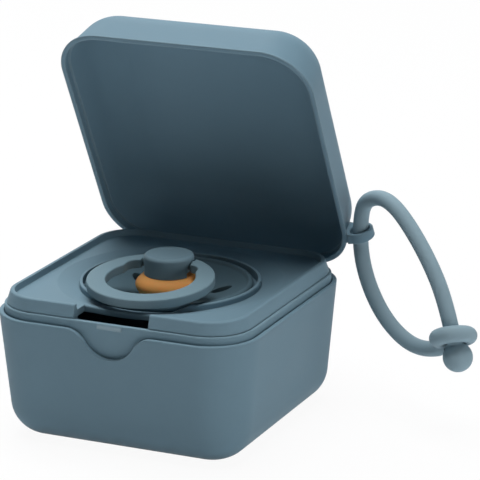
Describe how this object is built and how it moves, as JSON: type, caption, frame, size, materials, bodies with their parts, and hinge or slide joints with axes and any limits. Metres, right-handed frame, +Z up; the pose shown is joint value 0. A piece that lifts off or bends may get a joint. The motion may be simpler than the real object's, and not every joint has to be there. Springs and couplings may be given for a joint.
{
  "type": "pacifier sterilizer case",
  "caption": "Rounded square two-tier case with a hinged domed lid, a lift-out tray holding a ring-handled pacifier, and a silicone loop strap with ball end on the lid.",
  "frame": {"origin": "centre of the case's flat underside", "axes": "+Z up; -Y is the front, with the finger notch; the hinge is at the back on +Y; +X is the side with the lid's strap eyelet"},
  "size_m": [0.1109, 0.0831, 0.0986],
  "materials": {
    "case_plastic": "fine satin moulded polypropylene, slate blue-grey",
    "tray_plastic": "fine satin moulded polypropylene, slate blue-grey",
    "lid_plastic": "fine satin moulded polypropylene, slate blue-grey",
    "pin_plastic": "plain moulded hinge pin, same colour as the case",
    "strap_silicone": "smooth matte silicone, slate blue-grey",
    "shield_plastic": "satin moulded plastic, dark slate blue",
    "ring_plastic": "satin moulded plastic, slate blue-grey",
    "latex": "amber natural latex, soft sheen"
  },
  "bodies": {
    "case": {"outer_case": "case_plastic", "liner": "case_plastic", "hinge_pin": "pin_plastic"},
    "tray": {"insert_tray": "tray_plastic"},
    "lid": {"lid_shell": "lid_plastic"},
    "strap": {"strap_cord": "strap_silicone", "strap_eye": "strap_silicone", "strap_ball": "strap_silicone"},
    "pacifier": {"pacifier_shield": "shield_plastic", "pacifier_nipple": "latex", "pacifier_knob": "shield_plastic"},
    "handle": {"pacifier_ring": "ring_plastic"}
  },
  "joints": [
    {"name": "lid_hinge", "type": "hinge", "parent": "case", "child": "lid", "pos_m": [0, 0.03615, 0.0315], "axis": [-1, 0, 0], "range_deg": [-63, 42]},
    {"name": "ring_pivot", "type": "hinge", "parent": "pacifier", "child": "handle", "pos_m": [-0.0003, 0, 0.04026], "axis": [-0.9965, -0.0837, 0], "range_deg": [0, 150]},
    {"name": "pacifier_lift", "type": "slide", "parent": "tray", "child": "pacifier", "axis": [0, 0, 1], "range_m": [0, 0.04]},
    {"name": "tray_lift", "type": "slide", "parent": "case", "child": "tray", "axis": [0, 0, 1], "range_m": [0, 0.012]},
    {"name": "strap_swing", "type": "hinge", "parent": "lid", "child": "strap", "pos_m": [0.0377, 0.03445, 0.0432], "axis": [0, -0.2588, 0.9659], "range_deg": [-30, 85]}
  ]
}
